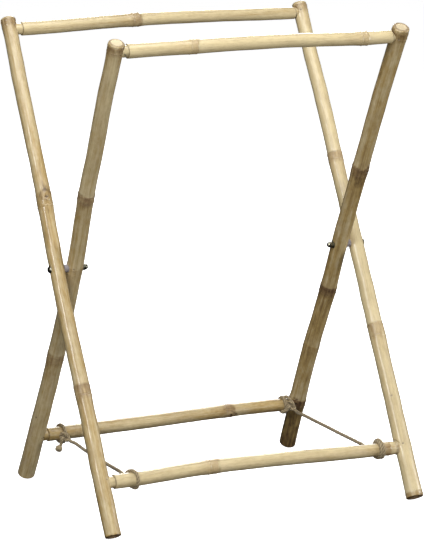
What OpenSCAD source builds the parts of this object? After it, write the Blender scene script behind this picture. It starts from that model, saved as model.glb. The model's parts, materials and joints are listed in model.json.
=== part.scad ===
// Folding towel rack of bamboo poles.
// Two ladder frames cross like an X and turn on a bolt through each pair of legs. Two ropes,
// tied between the bottom rails, stop the frames from opening further.
// Millimetres. The origin is on the floor at the middle of the footprint, +Z up, +X to the
// right and -Y to the front, which is the side of the foot rail of the outer frame.
// A frame is built flat around its pivot, poles along Z, and then leaned into place.

/* [Frames] */
// Length of each leg pole, cut square at both ends
leg_len = 900; // [700:1:1300]
// Distance between the pole axes of the inner frame
inner_w = 488; // [320:1:800]
// Height of the pivot bolt, measured along the leg from its foot
pivot_up = 454; // [350:1:620]
// Angle between the two frames when the ropes are taut
opening = 57; // [40:1:66]
// Distance along the leg from its top end down to the axis of a top rail
top_rail_drop = 17; // [15:1:60]
// Distance along the leg from its foot up to the axis of a bottom rail
bottom_rail_lift = 92; // [80:1:160]

/* [Poles] */
// Diameter of a leg at its foot
foot_d = 28; // [24:0.5:40]
// Diameter of a leg at its top end
top_d = 26.5; // [24:0.5:40]
// Length of the straight, untapered stretch at the foot
foot_straight = 62; // [40:1:70]
// Bevel round the ends of the legs
end_bevel = 1.5; // [0.5:0.1:3]
// Diameter of a rail
rail_d = 23; // [20:0.5:30]
// Width of the shoulder cut round the tenon on each end of a rail
shoulder_w = 2; // [1.2:0.1:5]
// Depth of the tenon in the leg, from the leg's surface
tenon_depth = 17; // [8:0.5:19]
// Length of tenon left showing between the leg and the rail's shoulder
neck_gap = 8; // [2:0.5:20]
// Bevel round the rail's shoulders
shoulder_bevel = 1; // [0.3:0.1:2]

/* [Bamboo nodes] */
// Distance from the top end of a leg down to its first node ring
node_from_top = 9; // [8:1:40]
// Distance between node rings on the left leg of the outer frame
outer_left_internode = 320; // [180:1:400]
// Distance between node rings on the right leg of the outer frame
outer_right_internode = 296; // [180:1:400]
// Distance between node rings on the left leg of the inner frame
inner_left_internode = 313; // [180:1:400]
// Distance between node rings on the right leg of the inner frame
inner_right_internode = 262; // [180:1:400]
// Left shoulder to node ring on the outer top rail
outer_top_node = 211; // [10:1:240]
// Left shoulder to node ring on the outer bottom rail
outer_bottom_node = 178; // [10:1:240]
// Right shoulder to node ring on the inner top rail
inner_top_node = 40; // [10:1:240]
// Right shoulder to node ring on the inner bottom rail
inner_bottom_node = 112; // [10:1:240]
// How far a node ring stands out of the pole
node_rise = 0.6; // [0.2:0.1:1.5]
// Width of a node ring along the pole
node_w = 6; // [3:0.5:12]

/* [Pivot hardware] */
// Gap between an outer and an inner leg at the pivot
leg_gap = 4; // [2:0.5:12]
// Diameter of the pivot bolt
bolt_d = 6; // [4:0.5:8]
// Diameter of the bolt's round head
head_d = 13; // [11:0.5:16]
// Height of the bolt's round head
head_h = 4.5; // [2:0.5:6]
// How much wider than the bolt the square neck under the head is
neck_extra = 0.6; // [0.2:0.1:1.5]
// Length of the square neck under the head
neck_sq_len = 4; // [2:0.5:6]
// Diameter of the spacer between the legs and of the washer under the nut
washer_d = 13; // [11:0.5:16]
// Thickness of the washer under the nut
washer_t = 1.2; // [0.8:0.1:2.5]
// Wall of the cap nut, from the bolt to a flat
nut_wall = 2; // [1:0.1:2.2]
// Height of the cap nut's hexagon
nut_h = 5; // [3:0.5:8]
// Wall of the cap nut's dome round the bolt
dome_wall = 1.6; // [0.8:0.1:1.9]
// Depth of the flat seats that the hardware sits on
seat_depth = 1.8; // [1.6:0.1:3]

/* [Rail pins] */
// Diameter of the pin through each tenon
pin_d = 2; // [1.5:0.1:4]
// Depth of the pin's head under the surface of the leg
pin_sink = 1; // [0.5:0.1:3]
// Distance from the leg's axis to the pin, towards the rail
pin_off = 4; // [2:0.5:8]

/* [Rope] */
// Diameter of the rope
rope_d = 5.6; // [3:0.1:8]
// Distance from the left shoulder of the front foot rail in to its tie
front_tie_left_in = 38; // [15:0.1:200]
// Distance from the right shoulder of the front foot rail in to its tie
front_tie_right_in = 24.3; // [15:0.1:200]
// Distance from the left shoulder of the back foot rail in to its tie
rear_tie_left_in = 22; // [0:0.1:200]
// Distance from the right shoulder of the back foot rail in to its tie
rear_tie_right_in = 0; // [0:0.1:200]
// Radius of the rear knots
rear_knot_r = 8; // [5:0.5:10]
// Radius of the front knots
front_knot_r = 6; // [4:0.5:8]
// Radius of the stopper knot on the left tail
stopper_r = 5.5; // [4:0.5:8]

/* [Clearances] */
// Radial clearance of the bolt in the leg that turns on it
running_clear = 0.05; // [0.02:0.01:0.1]
// Radial clearance of every hole that only holds a piece
hole_clear = 0.1; // [0.05:0.01:0.3]
// Side play of the inner leg against the spacer, and against the washer
side_play = 0.1; // [0.05:0.01:0.3]
// Clearance round the hardware in its flat seats
seat_clear = 0.5; // [0.3:0.1:1]

/* [Hidden] */
$fn = 64;

OUTER_TONE = [0.86, 0.79, 0.58];
INNER_TONE = [0.63, 0.54, 0.34];
RAIL_TONE = [0.80, 0.70, 0.47];
ROPE_TONE = [0.62, 0.55, 0.46];
STEEL_TONE = [0.75, 0.75, 0.72];
SPACER_TONE = [0.86, 0.83, 0.88];

EPS = 0.5;                       // how far a cutter runs past what it cuts
SIDES = [-1, 1];                 // left, right
lean = opening / 2;              // angle of each frame off the vertical
foot_r = foot_d / 2;
rail_r = rail_d / 2;
tenon_r = rail_r - shoulder_w;
bolt_r = bolt_d / 2;
head_r = head_d / 2;
washer_r = washer_d / 2;
rope_r = rope_d / 2;
pin_r = pin_d / 2;
neck_sq = bolt_d + neck_extra;
nut_af = bolt_d + 2 * nut_wall;
dome_r = bolt_r + dome_wall;

// A foot stands on the lower edge of its bevelled end.
foot_lift = (foot_r - end_bevel) * sin(lean);
pivot_z = pivot_up * cos(lean) + foot_lift;

// Places of the rails along a leg, from the pivot.
top_rail_up = leg_len - top_rail_drop - pivot_up;
bottom_rail_down = pivot_up - bottom_rail_lift;
RAIL_AT = [top_rail_up, -bottom_rail_down];

// Radius of a leg at height h above its foot.
function leg_r(h) = h < foot_straight ? foot_r
    : foot_r + (top_d / 2 - foot_r) * (h - foot_straight) / (leg_len - foot_straight);

pivot_r = leg_r(pivot_up);
seat_x = pivot_r - seat_depth;   // flat seat, from the leg's axis
inner_x = inner_w / 2;
outer_x = inner_x + 2 * pivot_r + leg_gap;

// The hardware stack along the bolt, for the right-hand pivot, from outside to inside.
head_x = outer_x + seat_x;
spacer_out = outer_x - seat_x;
spacer_in = inner_x + seat_x + side_play;
washer_x = inner_x - seat_x - side_play;
nut_x = washer_x - washer_t;
dome_x = nut_x - nut_h - 1;      // centre of the nut's dome
tip_x = dome_x - EPS;            // end of the bolt, in the hollow of the dome
pin_end = tenon_r + 1.5;         // point of a rail pin, past the leg's axis

// How the rope is wound, and how its tube is divided.
bite = 0.6;                      // how far a turn is flattened on the rail
sink = 2;                        // how far a knot is flattened on the rail
turn_pitch = rope_d - bite;      // from one turn to the next
rope_sides = 10;
ring_step = 2.5 * rope_d;

// Heights of node rings on a leg, down from the top, clear of the straight foot.
function leg_nodes(internode) = [
    for (h = leg_len - node_from_top; h > foot_straight + node_w; h = h - internode) h
];

// Rope routes, from beside the rear knot to beside the front tie.
ROUTE_LEFT = [
    [-198, 152, 75], [-201, 124, 77], [-205, 84, 79], [-210, 44, 81], [-214, 4, 84],
    [-218, -36, 86], [-223, -76, 88], [-227, -116, 91], [-229, -136, 92], [-231, -148, 94],
    [-231, -155, 97], [-228, -159, 98], [-217, -161, 98]
];
ROUTE_RIGHT = [
    [235, 153, 80], [232, 124, 81], [228, 84, 83], [225, 44, 84], [221, 4, 86],
    [217, -36, 87], [213, -76, 89], [209, -116, 90], [207, -138, 92], [207, -148, 94],
    [209, -155, 97], [214, -159, 98], [227, -161, 98]
];

// Puts a frame, built flat round its pivot, at the angle at which it stands.
module as_outer() { translate([0, 0, pivot_z]) rotate([-lean, 0, 0]) children(); }
module as_inner() { translate([0, 0, pivot_z]) rotate([lean, 0, 0]) children(); }

// Flips a piece made for the right-hand side when side is -1.
module on_side(side) { if (side < 0) mirror([1, 0, 0]) children(); else children(); }

// A cylinder along X from x0 to x1.
module bar_x(r, x0, x1) { translate([x0, 0, 0]) rotate([0, 90, 0]) cylinder(r = r, h = x1 - x0); }

// A bamboo pole standing on its foot, with its node rings.
module leg_pole(internode) {
    rings = leg_nodes(internode);
    half = node_w / 2;
    rotate_extrude() polygon(concat(
        [[0, 0], [foot_r - end_bevel, 0], [foot_r, end_bevel], [foot_r, foot_straight]],
        [for (k = [len(rings) - 1 : -1 : 0]) each [
            [leg_r(rings[k] - half), rings[k] - half],
            [leg_r(rings[k]) + node_rise, rings[k]],
            [leg_r(rings[k] + half), rings[k] + half]
        ]],
        [[top_d / 2, leg_len - end_bevel], [top_d / 2 - end_bevel, leg_len], [0, leg_len]]
    ));
}

function leg_r_at(z) = leg_r(pivot_up + z);

// The hole for a rail pin, from outside the leg to the bottom of the pin.
module pin_hole(leg_x, z) {
    translate([leg_x - pin_off, -foot_r - EPS, z]) rotate([-90, 0, 0])
        cylinder(r = pin_r + hole_clear, h = foot_r + EPS + pin_end, $fn = 32);
}

// One leg of the right-hand side: sockets for two rails, pin holes, bolt hole and the flat
// seats, of radius seat_r on the left and on the right.
module leg(leg_x, internode, hole_r, seat_r) difference() {
    translate([leg_x, 0, -pivot_up]) leg_pole(internode);
    for (z = RAIL_AT) {
        translate([0, 0, z])
            bar_x(tenon_r + hole_clear, leg_x - foot_r - EPS, leg_x - leg_r_at(z) + tenon_depth);
        pin_hole(leg_x, z);
    }
    bar_x(hole_r, leg_x - foot_r - EPS, leg_x + foot_r + EPS);
    for (k = [0, 1]) translate([leg_x, 0, 0]) on_side(SIDES[k])
        bar_x(seat_r[k] + seat_clear, seat_x, foot_r + EPS);
}

// The outer legs also hold the square neck of the bolt.
module outer_leg(side, internode) color(OUTER_TONE) as_outer() on_side(side) difference() {
    leg(outer_x, internode, bolt_r + hole_clear, [washer_r, head_r]);
    neck = neck_sq + 2 * hole_clear;
    translate([head_x - neck_sq_len - hole_clear, -neck / 2, -neck / 2])
        cube([neck_sq_len + hole_clear + EPS, neck, neck]);
}

module inner_leg(side, internode) color(INNER_TONE) as_inner() on_side(side)
    leg(inner_x, internode, bolt_r + running_clear, [washer_r, washer_r]);

module outer_leg_left() { outer_leg(-1, outer_left_internode); }
module outer_leg_right() { outer_leg(1, outer_right_internode); }
module inner_leg_left() { inner_leg(-1, inner_left_internode); }
module inner_leg_right() { inner_leg(1, inner_right_internode); }

// A rail between two legs, at height z from the pivot, with its node ring at x = ring.
module rail(leg_x, z, ring) {
    face = leg_x - leg_r_at(z);          // where the legs' surfaces are
    shoulder = face - neck_gap;
    end = face + tenon_depth;
    half = node_w / 2;
    difference() {
        translate([0, 0, z]) rotate([0, 90, 0]) rotate_extrude() polygon([
            [0, -end], [tenon_r, -end], [tenon_r, -shoulder],
            [rail_r - shoulder_bevel, -shoulder], [rail_r, -shoulder + shoulder_bevel],
            [rail_r, ring - half], [rail_r + node_rise, ring], [rail_r, ring + half],
            [rail_r, shoulder - shoulder_bevel], [rail_r - shoulder_bevel, shoulder],
            [tenon_r, shoulder], [tenon_r, end], [0, end]
        ]);
        for (s = SIDES) on_side(s) pin_hole(leg_x, z);
    }
}

function shoulder_x(leg_x, z) = leg_x - leg_r_at(z) - neck_gap;

module outer_top_rail() color(RAIL_TONE) as_outer()
    rail(outer_x, top_rail_up, outer_top_node - shoulder_x(outer_x, top_rail_up));
module outer_bottom_rail() color(RAIL_TONE) as_outer()
    rail(outer_x, -bottom_rail_down, outer_bottom_node - shoulder_x(outer_x, -bottom_rail_down));
module inner_top_rail() color(RAIL_TONE) as_inner()
    rail(inner_x, top_rail_up, shoulder_x(inner_x, top_rail_up) - inner_top_node);
module inner_bottom_rail() color(RAIL_TONE) as_inner()
    rail(inner_x, -bottom_rail_down, shoulder_x(inner_x, -bottom_rail_down) - inner_bottom_node);

// The four pins of a frame, sunk under the surface of its legs.
module rail_pins(leg_x) color(STEEL_TONE) for (s = SIDES, z = RAIL_AT) on_side(s) {
    start = pin_sink - sqrt(pow(leg_r_at(z), 2) - pow(pin_off, 2));
    translate([leg_x - pin_off, start, z]) rotate([-90, 0, 0])
        cylinder(r = pin_r, h = pin_end - start, $fn = 32);
}
module outer_rail_pins() { as_outer() rail_pins(outer_x); }
module inner_rail_pins() { as_inner() rail_pins(inner_x); }

// Round-head bolt with a square neck, its head on the outside of the outer leg.
module pivot_bolt(side) color(STEEL_TONE) as_outer() on_side(side) {
    dome = (pow(head_r, 2) + pow(head_h, 2)) / (2 * head_h);
    half_angle = asin(head_r / dome);
    translate([head_x, 0, 0]) rotate([0, 90, 0]) rotate_extrude() polygon(concat(
        [[0, tip_x - head_x], [bolt_r, tip_x - head_x], [bolt_r, 0]],
        [for (a = [half_angle : -half_angle / 8 : half_angle / 16])
            [dome * sin(a), head_h - dome + dome * cos(a)]],
        [[0, head_h]]
    ));
    translate([head_x - neck_sq_len, -neck_sq / 2, -neck_sq / 2])
        cube([neck_sq_len + EPS, neck_sq, neck_sq]);
}
module pivot_bolt_left() { pivot_bolt(-1); }
module pivot_bolt_right() { pivot_bolt(1); }

// A ring on the bolt between x0 and x1.
module bolt_ring(x0, x1) difference() {
    bar_x(washer_r, x0, x1);
    bar_x(bolt_r + hole_clear, x0 - EPS, x1 + EPS);
}
module spacer(side) color(SPACER_TONE) as_outer() on_side(side) bolt_ring(spacer_in, spacer_out);
module spacer_left() { spacer(-1); }
module spacer_right() { spacer(1); }
module nut_washer(side) color(STEEL_TONE) as_outer() on_side(side) bolt_ring(nut_x, washer_x);
module nut_washer_left() { nut_washer(-1); }
module nut_washer_right() { nut_washer(1); }

// Hexagon nut closed by a dome, on the inside of the inner leg.
module cap_nut(side) color(STEEL_TONE) as_outer() on_side(side) difference() {
    union() {
        translate([nut_x - nut_h, 0, 0]) rotate([0, 90, 0])
            cylinder(d = nut_af / cos(30), h = nut_h, $fn = 6);
        bar_x(dome_r, dome_x, nut_x - nut_h / 2);
        translate([dome_x, 0, 0]) sphere(r = dome_r);
    }
    bar_x(bolt_r + hole_clear, tip_x - EPS, nut_x + EPS);
}
module cap_nut_left() { cap_nut(-1); }
module cap_nut_right() { cap_nut(1); }

// Shoulders of the two bottom rails, which the ties are placed from.
front_end = shoulder_x(outer_x, -bottom_rail_down);
rear_end = shoulder_x(inner_x, -bottom_rail_down);

// Turns of rope pressed on a bottom rail at x, with a knot beside them at knot_x. The knot sits
// round the rail, below the side that faces the other frame by an angle.
module tie(x, turns, knot_x, knot_r, facing, below) translate([0, 0, -bottom_rail_down]) difference() {
    union() {
        for (k = [0 : turns - 1])
            translate([x + (k - (turns - 1) / 2) * turn_pitch, 0, 0]) rotate([0, 90, 0])
                rotate_extrude() translate([rail_r + rope_r - bite, 0]) circle(r = rope_r, $fn = 32);
        rotate([-facing * below, 0, 0]) translate([knot_x, facing * (rail_r + knot_r - sink), 0])
            sphere(r = knot_r);
    }
    bar_x(rail_r, x - 2 * rail_d, x + 2 * rail_d);
}
module front_tie(x) color(ROPE_TONE) as_outer()
    tie(x, 1, x, front_knot_r, 1, -30);
module front_tie_left() { front_tie(front_tie_left_in - front_end); }
module front_tie_right() { front_tie(front_end - front_tie_right_in); }
module rear_tie(x, aside, below) color(ROPE_TONE) as_inner()
    tie(x, 2, x + aside, rear_knot_r, -1, below);
module rear_tie_left() { rear_tie(rear_tie_left_in - rear_end, 0, 20); }
module rear_tie_right() { rear_tie(rear_end - rear_tie_right_in, 3, -30); }

// Loose ends of the rope below the rear knots, each a straight stub between two points. The
// left one ends in a stopper knot.
TAIL_LEFT = [[-203, 159, 69], [-215, 158, 61]];
TAIL_RIGHT = [[219, 164, 73], [210, 160, 69]];
module stub(from, to, knot_r) {
    v = to - from;
    start = asin(rope_r / knot_r);       // where the knot's round outline leaves the rope
    translate(from) rotate([0, acos(v.z / norm(v)), atan2(v.y, v.x)]) rotate_extrude() polygon(concat(
        [[0, 0], [rope_r, 0]],
        [for (k = [0 : 12]) let (a = 180 - start + (start - 180) * k / 12)
            [knot_r * sin(a), norm(v) + knot_r * cos(a)]]
    ));
}
module rope_tail_left() color(ROPE_TONE) stub(TAIL_LEFT[0], TAIL_LEFT[1], stopper_r);
module rope_tail_right() color(ROPE_TONE) stub(TAIL_RIGHT[0], TAIL_RIGHT[1], rope_r);

// Rope swept along a route: rings of rope_sides points, square to the route.
function unit(v) = v / norm(v);
function split(a, b) = let (n = max(1, ceil(norm(b - a) / ring_step))) [
    for (k = [0 : n - 1]) a + (b - a) * k / n
];
function dense(route) = concat(
    [for (k = [0 : len(route) - 2]) each split(route[k], route[k + 1])], [route[len(route) - 1]]
);
function heading(p, k) = unit(p[min(k + 1, len(p) - 1)] - p[max(k - 1, 0)]);
module tube(route) {
    p = dense(route);
    rings = len(p);
    points = [for (k = [0 : rings - 1])
        let (t = heading(p, k), side = unit(cross(t, [0, 0, 1])), up = cross(side, t))
        for (j = [0 : rope_sides - 1])
            p[k] + rope_r * (cos(360 * j / rope_sides) * side + sin(360 * j / rope_sides) * up)
    ];
    walls = [for (k = [0 : rings - 2], j = [0 : rope_sides - 1])
        let (a = k * rope_sides + j, b = k * rope_sides + (j + 1) % rope_sides)
        [a, b, b + rope_sides, a + rope_sides]
    ];
    near = [for (j = [rope_sides - 1 : -1 : 0]) j];
    far = [for (j = [0 : rope_sides - 1]) (rings - 1) * rope_sides + j];
    polyhedron(points = points, faces = concat([near], walls, [far]), convexity = 4);
}
module rope_span_left() color(ROPE_TONE) tube(ROUTE_LEFT);
module rope_span_right() color(ROPE_TONE) tube(ROUTE_RIGHT);

outer_leg_left();
outer_leg_right();
outer_top_rail();
outer_bottom_rail();
outer_rail_pins();
inner_leg_left();
inner_leg_right();
inner_top_rail();
inner_bottom_rail();
inner_rail_pins();
pivot_bolt_left();
pivot_bolt_right();
spacer_left();
spacer_right();
nut_washer_left();
nut_washer_right();
cap_nut_left();
cap_nut_right();
front_tie_left();
front_tie_right();
rear_tie_left();
rear_tie_right();
rope_span_left();
rope_span_right();
rope_tail_left();
rope_tail_right();
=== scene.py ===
"""Looks of a folding towel rack: two crossed ladder frames of bamboo and two rope stays.

Metres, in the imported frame: +X to the right, -Y to the front, +Z up. Every pole and rail is a
surface of revolution worked out on a grid, with its bamboo nodes, branch scars and bends, and
every rope is a three-strand section carried along a path.
"""
import json
import math

import bpy
import numpy as np
from mathutils import Matrix, Vector


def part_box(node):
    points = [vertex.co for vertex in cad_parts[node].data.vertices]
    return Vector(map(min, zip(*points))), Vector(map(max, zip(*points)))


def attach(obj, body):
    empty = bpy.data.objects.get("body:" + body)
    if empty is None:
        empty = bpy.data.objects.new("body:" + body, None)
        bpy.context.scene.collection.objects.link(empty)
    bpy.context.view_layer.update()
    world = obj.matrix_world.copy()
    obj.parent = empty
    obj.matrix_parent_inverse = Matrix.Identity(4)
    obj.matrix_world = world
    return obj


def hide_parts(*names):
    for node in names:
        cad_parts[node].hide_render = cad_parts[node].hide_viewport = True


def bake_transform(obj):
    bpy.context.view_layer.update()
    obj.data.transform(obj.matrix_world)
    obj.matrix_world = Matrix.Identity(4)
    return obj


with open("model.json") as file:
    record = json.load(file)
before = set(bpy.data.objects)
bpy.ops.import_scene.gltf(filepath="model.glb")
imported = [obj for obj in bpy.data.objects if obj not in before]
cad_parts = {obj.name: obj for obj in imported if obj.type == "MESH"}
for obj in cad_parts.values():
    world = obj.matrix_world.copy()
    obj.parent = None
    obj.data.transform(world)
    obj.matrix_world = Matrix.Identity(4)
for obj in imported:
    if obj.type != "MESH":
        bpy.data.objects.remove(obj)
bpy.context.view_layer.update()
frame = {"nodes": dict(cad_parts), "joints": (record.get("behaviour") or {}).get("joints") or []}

MM = 0.001
TURN = 2 * math.pi

# --- places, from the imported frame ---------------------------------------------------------


def middle(node):
    """Centre of a CAD node's box."""
    low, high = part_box(node)
    return np.array((low + high) / 2)


def unit(v):
    """Vectors along the last axis, each scaled to length one."""
    return v / np.linalg.norm(v, axis=-1, keepdims=True)


PIVOT = np.array(frame["joints"][0]["pos_m"])
ACROSS = np.array([1.0, 0.0, 0.0])
OUTER_UP = unit(middle("outer_top_rail") - middle("outer_bottom_rail"))
INNER_UP = unit(middle("inner_top_rail") - middle("inner_bottom_rail"))
LEAN = math.acos(OUTER_UP[2])

LEG_LENGTH = 900 * MM
PIVOT_UP = 454 * MM              # pivot bolt, along a leg from its foot
CAD_FOOT_RADIUS = 14 * MM
SEAT_FROM_AXIS = 11.85 * MM      # flat seats of the hardware, from a leg's axis
SEAT_RADIUS = 7 * MM
TOP_RAIL_UP = 883 * MM           # rail axes, along a leg from its foot
BOTTOM_RAIL_UP = 92 * MM
TENON_RADIUS = 9.5 * MM
PIN_ANGLE = 24                   # a rail pin, round a leg from its front towards the rail
PIN_SIZE = 1.3                   # width of a pin's mark, in mm

LEG_TOP = LEG_LENGTH - 0.8 * MM  # where a leg's top cut starts
LEG_FACE = 12.4 * MM             # from a leg's axis to where a rail's neck starts
NECK = 8 * MM                    # tenon showing between a leg and a rail's shoulder
BUTT_NECK = 1.5 * MM             # the same where a rail ends close to the leg
TENON_IN_LEG = 8 * MM
RAIL_ENDS_AT = 250 * MM          # from the middle to where a rail's end diameters hold

# --- camera, floor and light ---------------------------------------------------------------

CAMERA_AT = (-2.0489, -4.4761, 1.3125)
CAMERA_YAW, CAMERA_PITCH, CAMERA_ROLL = 24.64, 10.725, -0.371
CAMERA_LENS = 199.2


def make_camera():
    """A long lens at the front left, looking slightly down."""
    camera = bpy.data.objects.new("camera", bpy.data.cameras.new("camera"))
    camera.data.lens = CAMERA_LENS
    camera.data.clip_start = 0.1
    camera.data.clip_end = 100
    turn = Matrix.Rotation(-math.radians(CAMERA_YAW), 4, "Z")
    tip = Matrix.Rotation(math.radians(90 - CAMERA_PITCH), 4, "X")
    roll = Matrix.Rotation(math.radians(CAMERA_ROLL), 4, "Z")
    camera.matrix_world = Matrix.Translation(CAMERA_AT) @ turn @ tip @ roll
    bpy.context.scene.collection.objects.link(camera)
    bpy.context.scene.camera = camera


make_camera()

# --- meshes --------------------------------------------------------------------------------


def curve_through(at, xs, ys):
    """Natural cubic spline: the smooth curve through the points (xs, ys), read at the places at.
    Its second derivatives at the points solve the usual three-term equations."""
    xs, ys = np.asarray(xs, float), np.asarray(ys, float)
    h = np.diff(xs)
    system = np.eye(len(xs))
    right = np.zeros_like(ys)
    for k in range(1, len(xs) - 1):
        system[k, k - 1:k + 2] = h[k - 1], 2 * (h[k - 1] + h[k]), h[k]
        right[k] = 6 * ((ys[k + 1] - ys[k]) / h[k] - (ys[k] - ys[k - 1]) / h[k - 1])
    bend = np.linalg.solve(system, right)
    k = np.clip(np.searchsorted(xs, at) - 1, 0, len(h) - 1)
    a, b = (at - xs[k]), (xs[k + 1] - at)
    if ys.ndim > 1:
        a, b, h = a[:, None], b[:, None], h[:, None]
    return (
        (bend[k + 1] * a ** 3 + bend[k] * b ** 3) / (6 * h[k])
        + (ys[k + 1] / h[k] - bend[k + 1] * h[k] / 6) * a
        + (ys[k] / h[k] - bend[k] * h[k] / 6) * b
    )


def skin(name, rings, start, end, attributes=None):
    """A closed surface from rings, an array of n rings of m points that run anticlockwise about
    the direction from start to end. Faces join each ring to the next, and a fan closes each
    end at a single point. An attribute has one value or vector for each ring point."""
    n, m, _ = rings.shape
    i, j = np.meshgrid(np.arange(n - 1), np.arange(m), indexing="ij")
    here, beside = i * m + j, i * m + (j + 1) % m
    quads = np.stack([here, beside, beside + m, here + m], -1).reshape(-1, 4)
    around = np.arange(m)
    first = np.stack([np.full(m, n * m), (around + 1) % m, around], -1)
    last = np.stack([np.full(m, n * m + 1), (n - 1) * m + around,
                     (n - 1) * m + (around + 1) % m], -1)
    mesh = bpy.data.meshes.new(name)
    points = np.concatenate([rings.reshape(-1, 3), [start, end]])
    mesh.from_pydata(points.tolist(), [], quads.tolist() + first.tolist() + last.tolist())
    for key, value in (attributes or {}).items():
        value = np.asarray(value, np.float32)
        if value.ndim == 3:
            tips = [value[0].mean(0), value[-1].mean(0)]
            data = np.concatenate([value.reshape(-1, 3), tips])
            mesh.attributes.new(key, "FLOAT_VECTOR", "POINT").data.foreach_set(
                "vector", data.astype(np.float32).ravel())
        else:
            data = np.concatenate([value.ravel(), [value[0].mean(), value[-1].mean()]])
            mesh.attributes.new(key, "FLOAT", "POINT").data.foreach_set(
                "value", data.astype(np.float32))
    mesh.polygons.foreach_set("use_smooth", np.ones(len(mesh.polygons), bool))
    mesh.update()
    piece = bpy.data.objects.new(name, mesh)
    bpy.context.scene.collection.objects.link(piece)
    return piece


def bump(x, width):
    """A smooth hump of height one at x = 0, which falls to a third at one width."""
    return np.exp(-(x / width) ** 2)


def angle_gap(a, b):
    """The signed angle from b to a, between minus and plus half a turn."""
    return (a - b + math.pi) % TURN - math.pi


OVAL = 0.012                     # share of the radius by which a pole is out of round
RIPPLE_WAVES = 5


def ripples(seed, along, around, size):
    """Slow unevenness: a sum of sine waves of random phase that close up round the pole."""
    rng = np.random.default_rng(seed)
    total = np.zeros(np.broadcast(along, around).shape)
    for _ in range(RIPPLE_WAVES):
        length = rng.uniform(40, 220) * MM
        turns = rng.integers(0, 3)
        phase = rng.uniform(0, TURN)
        total += np.sin(TURN * along / length + turns * around + phase) / RIPPLE_WAVES
    return size * total


def rows_along(start, end, fine_at, coarse, fine, reach):
    """Places along a pole: coarse apart, and fine apart within reach of the places fine_at."""
    rows = np.arange(start, end, coarse)
    extra = [np.arange(max(start, p - reach), min(end, p + reach), fine) for p in fine_at]
    merged = np.unique(np.round(np.concatenate([rows, *extra, [start, end]]), 6))
    keep = np.concatenate([[True], np.diff(merged) > 0.4 * fine])
    keep[-1] = True
    return merged[keep]


# --- bamboo --------------------------------------------------------------------------------

# A node is (place of its sheath scar along the pole in mm, height of its ridge above that in mm,
# strength, darkness of its belt, angle of its branch scar in degrees or None). Angles on a leg
# run from the right (+X) to the back, so the front is at -90.


def node_relief(along, around, nodes, radius):
    """Height of the bamboo's nodes over the plain pole, and what stains it: fine dark marks, the
    brown belt, the warm tinge below it and the pale bloom above it. Each node is a slow swelling
    with a sharp sheath lip at its place and a rounded ridge above that, both of them wavy. The
    belt starts softly below the lip and stops sharply above the ridge. A branch scar is a pit
    inside two arches, with a shallow channel that runs up the pole from it."""
    height = np.zeros_like(radius)
    stains = {key: np.zeros_like(radius) for key in ("marks", "belt", "warm", "bloom")}
    for place, tall, strength, stain, scar in nodes:
        wave = 0.9 * MM * np.sin(around + place) + 0.5 * MM * np.sin(3 * around + 2 * place)
        d = along - place * MM + wave
        top = d - tall * MM + 0.6 * MM * np.sin(2 * around + place)
        if scar is not None:
            aside = radius * angle_gap(around, math.radians(scar))
            top = top - 0.3 * tall * MM * bump(aside, 0.35 * tall * MM)
        height += strength * MM * (
            0.75 * bump(d - 0.3 * tall * MM, (8 + 0.5 * tall) * MM)
            + 0.4 * bump(d, 1.1 * MM)
            - 0.3 * bump(d - 1.8 * MM, 1.1 * MM)
            + 0.5 * bump(top + 1.6 * MM, 2.2 * MM)
            - 0.35 * bump(top - 0.9 * MM, 1.2 * MM)
        )
        below_top = np.clip((0.4 * MM - top) / (0.8 * MM), 0, 1)
        rise = np.clip((d + 6 * MM) / ((6 + 0.6 * tall) * MM), 0, 1)
        stains["belt"] += stain * (0.3 + 0.7 * rise) * (rise > 0) * below_top
        stains["warm"] += min(1, 2 * stain) * np.clip((d + 42 * MM) / (40 * MM), 0, 1) * below_top
        stains["marks"] += stain * (0.5 * bump(d - 0.9 * MM, 0.8 * MM) + 0.7 * bump(top, 0.8 * MM))
        fade_out = np.clip(1 - (top - 6 * MM) / (26 * MM), 0, 1)
        stains["bloom"] += np.clip(top / (2 * MM), 0, 1) * fade_out
        if scar is not None:
            up = along - (place + 0.62 * tall) * MM
            arch = np.hypot(aside, up) / (tall * MM)
            over = np.clip(up / (2 * MM) + 0.5, 0, 1)
            pit = np.hypot(aside * (1 + 0.12 * up / MM), up * 1.3)
            height += MM * (0.8 * bump(arch - 0.25, 0.1) + 0.35 * bump(arch - 0.42, 0.06) * over)
            height -= 1.3 * MM * bump(pit, 1.8 * MM)
            stains["marks"] += 2.4 * bump(pit, 2.3 * MM) + 0.8 * bump(arch - 0.5, 0.05) * over
            channel = np.clip(1 - (up - 0.5 * tall * MM) / (95 * MM), 0, 1) * (arch > 0.45) * over
            height -= 0.7 * MM * channel * bump(aside, 4.5 * MM)
            chevron = np.abs(aside) - 0.25 * (up - 0.5 * tall * MM)
            near = np.clip(1 - np.abs(up - 0.75 * tall * MM) / (0.25 * tall * MM), 0, 1)
            stains["marks"] += 0.8 * near * bump(chevron, 1.4 * MM)
    return height, {key: np.clip(value, 0, 1) for key, value in stains.items()}


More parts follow.
